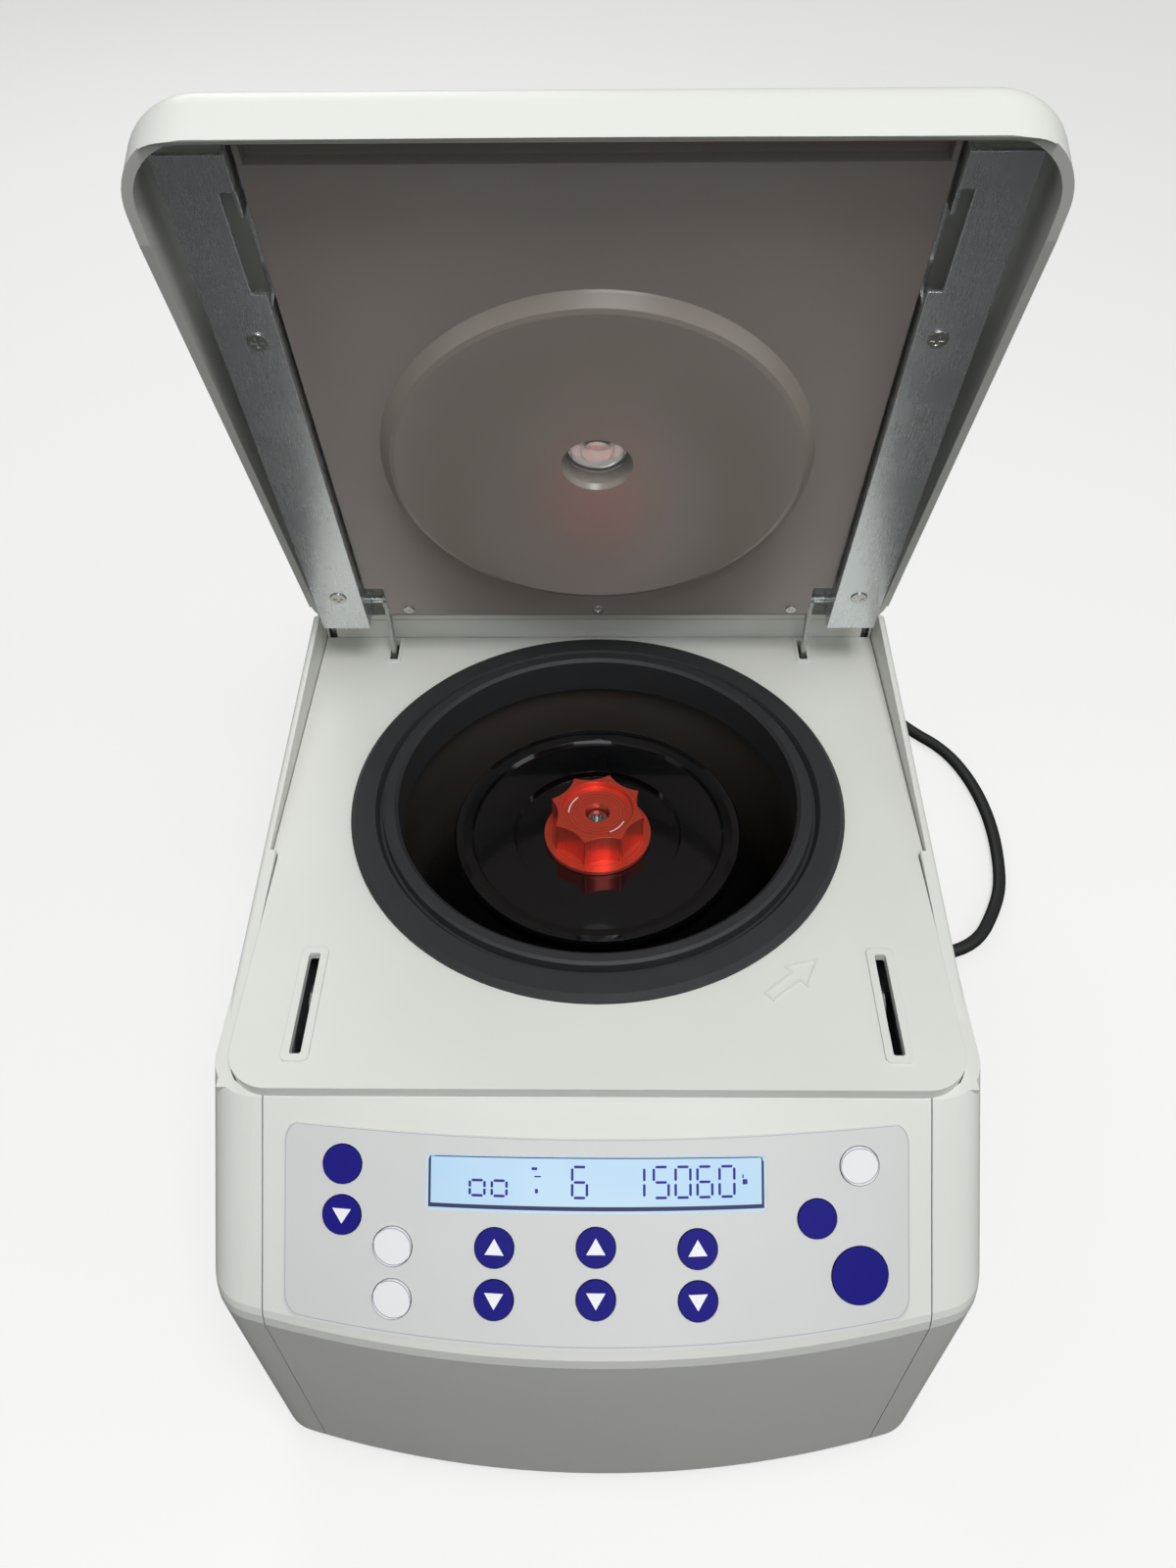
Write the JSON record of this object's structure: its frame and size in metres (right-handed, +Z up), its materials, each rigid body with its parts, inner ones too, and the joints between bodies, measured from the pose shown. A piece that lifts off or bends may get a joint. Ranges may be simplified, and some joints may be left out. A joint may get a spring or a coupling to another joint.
{
  "type": "refrigerated microcentrifuge",
  "caption": "Refrigerated bench microcentrifuge with its lid open, showing the chamber, the covered rotor with a red knob, a sloping keypad with a display, and the mains lead.",
  "frame": {"origin": "on the bench, under the middle of the housing's width and depth", "axes": "+X to the machine's right seen from the front, +Y from the front to the rear, +Z up"},
  "size_m": [0.415, 0.609, 0.4946],
  "materials": {
    "housing_plastic": "fine satin, off-white",
    "painted_sheet": "satin off-white powder coat",
    "zinc_steel": "bright zinc plate",
    "foot_rubber": "matte",
    "screw_steel": "bright",
    "gasket_rubber": "matte",
    "chamber_coating": "satin black coating",
    "copper_tube": "bare copper",
    "pu_foam": "rigid foam",
    "motor_paint": "satin black",
    "compressor_paint": "gloss black",
    "shaft_steel": "ground",
    "black_anodised": "gloss black anodised",
    "red_anodised": "red anodised",
    "fin_aluminium": "mill finish",
    "black_plastic": "fine texture",
    "overlay_film": "silver-grey polyester film",
    "clear_window": "clear plastic",
    "display_glass": "pale blue liquid crystal",
    "circuit_board": "green solder mask",
    "liner_plastic": "satin warm grey",
    "cord_pvc": "smooth flexible vinyl",
    "blue_key": "dark blue print",
    "white_key": "white print"
  },
  "bodies": {
    "housing": {"base_pan": "zinc_steel", "feet": "foot_rubber", "side_shell_left": "housing_plastic", "side_shell_right": "housing_plastic", "front_panel": "housing_plastic", "deck_cover": "housing_plastic", "rear_top_cover": "housing_plastic", "rear_panel": "painted_sheet", "housing_screws": "screw_steel", "chamber_gasket": "gasket_rubber", "rotor_chamber": "chamber_coating", "insulation_foam": "pu_foam", "evaporator_coil": "copper_tube", "motor_body": "motor_paint", "motor_mount": "zinc_steel", "compressor": "compressor_paint", "condenser": "fin_aluminium", "fan_shroud": "black_plastic", "power_board": "circuit_board", "control_board": "circuit_board", "display_module": "display_glass", "display_window": "clear_window", "keypad_overlay": "overlay_film", "power_inlet": "black_plastic", "hinge_brackets": "zinc_steel", "gas_springs": "compressor_paint", "latch_frame": "zinc_steel", "cord_connector": "black_plastic", "cord_lead": "cord_pvc", "cord_coil": "cord_pvc", "mains_plug": "black_plastic"},
    "lid": {"lid_shell": "housing_plastic", "lid_liner": "liner_plastic", "lid_rail_left": "zinc_steel", "lid_rail_right": "zinc_steel", "rail_screws": "screw_steel", "window_lens": "clear_window"},
    "links": {"lid_links": "zinc_steel"},
    "rods": {"spring_rods": "shaft_steel"},
    "latch": {"latch_hooks": "zinc_steel"},
    "rotor": {"motor_shaft": "shaft_steel", "rotor_body": "black_anodised", "rotor_nut": "shaft_steel"},
    "rotor_cover": {"rotor_lid": "black_anodised"},
    "knob": {"rotor_knob": "red_anodised"},
    "fan": {"fan_rotor": "black_plastic"},
    "rocker": {"mains_switch": "black_plastic"},
    "key_menu": {"button_menu": "blue_key"},
    "key_select": {"button_select": "blue_key"},
    "key_unit": {"button_unit": "white_key"},
    "key_fast_cool": {"button_fast_cool": "white_key"},
    "key_time_up": {"button_time_up": "blue_key"},
    "key_time_down": {"button_time_down": "blue_key"},
    "key_temp_up": {"button_temp_up": "blue_key"},
    "key_temp_down": {"button_temp_down": "blue_key"},
    "key_speed_up": {"button_speed_up": "blue_key"},
    "key_speed_down": {"button_speed_down": "blue_key"},
    "key_open": {"button_open": "white_key"},
    "key_short": {"button_short": "blue_key"},
    "key_start": {"button_start": "blue_key"}
  },
  "joints": [
    {"name": "lid_hinge", "type": "hinge", "parent": "housing", "child": "lid", "pos_m": [0, 0.0985, 0.2423], "axis": [1, 0, 0], "range_deg": [0, 72.5], "stiffness_Nm_per_rad": 0.5, "springref_deg": -171.89},
    {"name": "link_turn", "type": "hinge", "parent": "lid", "child": "links", "pos_m": [0, 0.0838, 0.2478], "axis": [1, 0, 0], "range_deg": [-72.5, 0]},
    {"name": "spring_slide", "type": "slide", "parent": "housing", "child": "rods", "axis": [0, 0, 1], "range_m": [-0.018, 0]},
    {"name": "latch_turn", "type": "hinge", "parent": "housing", "child": "latch", "pos_m": [0, -0.063, 0.188], "axis": [-1, 0, 0], "range_deg": [0, 18]},
    {"name": "rotor_spin", "type": "hinge", "parent": "housing", "child": "rotor", "pos_m": [0, -0.018, 0.121], "axis": [0, 0, 1], "continuous": true},
    {"name": "rotor_lid_lift", "type": "slide", "parent": "rotor", "child": "rotor_cover", "axis": [0, 0, -1], "range_m": [-0.06, 0]},
    {"name": "knob_turn", "type": "hinge", "parent": "rotor_cover", "child": "knob", "pos_m": [0, -0.018, 0.188], "axis": [0, 0, 1], "range_deg": [0, 90]},
    {"name": "fan_spin", "type": "hinge", "parent": "housing", "child": "fan", "pos_m": [-0.055, 0.218, 0.103], "axis": [0, 1, 0], "continuous": true},
    {"name": "mains_rocker", "type": "hinge", "parent": "housing", "child": "rocker", "pos_m": [0.056, 0.233, 0.053], "axis": [1, 0, 0], "range_deg": [0, 14]},
    {"name": "key_menu_press", "type": "slide", "parent": "housing", "child": "key_menu", "axis": [0, 0.611, -0.7916], "range_m": [0, 0.0006], "stiffness_N_per_m": 800},
    {"name": "key_select_press", "type": "slide", "parent": "housing", "child": "key_select", "axis": [0, 0.611, -0.7916], "range_m": [0, 0.0006], "stiffness_N_per_m": 800},
    {"name": "key_unit_press", "type": "slide", "parent": "housing", "child": "key_unit", "axis": [0, 0.611, -0.7916], "range_m": [0, 0.0006], "stiffness_N_per_m": 800},
    {"name": "key_fast_cool_press", "type": "slide", "parent": "housing", "child": "key_fast_cool", "axis": [0, 0.611, -0.7916], "range_m": [0, 0.0006], "stiffness_N_per_m": 800},
    {"name": "key_time_up_press", "type": "slide", "parent": "housing", "child": "key_time_up", "axis": [0, 0.611, -0.7916], "range_m": [0, 0.0006], "stiffness_N_per_m": 800},
    {"name": "key_time_down_press", "type": "slide", "parent": "housing", "child": "key_time_down", "axis": [0, 0.611, -0.7916], "range_m": [0, 0.0006], "stiffness_N_per_m": 800},
    {"name": "key_temp_up_press", "type": "slide", "parent": "housing", "child": "key_temp_up", "axis": [0, 0.611, -0.7916], "range_m": [0, 0.0006], "stiffness_N_per_m": 800},
    {"name": "key_temp_down_press", "type": "slide", "parent": "housing", "child": "key_temp_down", "axis": [0, 0.611, -0.7916], "range_m": [0, 0.0006], "stiffness_N_per_m": 800},
    {"name": "key_speed_up_press", "type": "slide", "parent": "housing", "child": "key_speed_up", "axis": [0, 0.611, -0.7916], "range_m": [0, 0.0006], "stiffness_N_per_m": 800},
    {"name": "key_speed_down_press", "type": "slide", "parent": "housing", "child": "key_speed_down", "axis": [0, 0.611, -0.7916], "range_m": [0, 0.0006], "stiffness_N_per_m": 800},
    {"name": "key_open_press", "type": "slide", "parent": "housing", "child": "key_open", "axis": [0, 0.611, -0.7916], "range_m": [0, 0.0006], "stiffness_N_per_m": 800},
    {"name": "key_short_press", "type": "slide", "parent": "housing", "child": "key_short", "axis": [0, 0.611, -0.7916], "range_m": [0, 0.0006], "stiffness_N_per_m": 800},
    {"name": "key_start_press", "type": "slide", "parent": "housing", "child": "key_start", "axis": [0, 0.611, -0.7916], "range_m": [0, 0.0006], "stiffness_N_per_m": 800}
  ],
  "couplings": [
    {"joint": "link_turn", "follows": "lid_hinge", "ratio": -1},
    {"joint": "spring_slide", "follows": "lid_hinge", "m_per_rad": -0.01415}
  ]
}
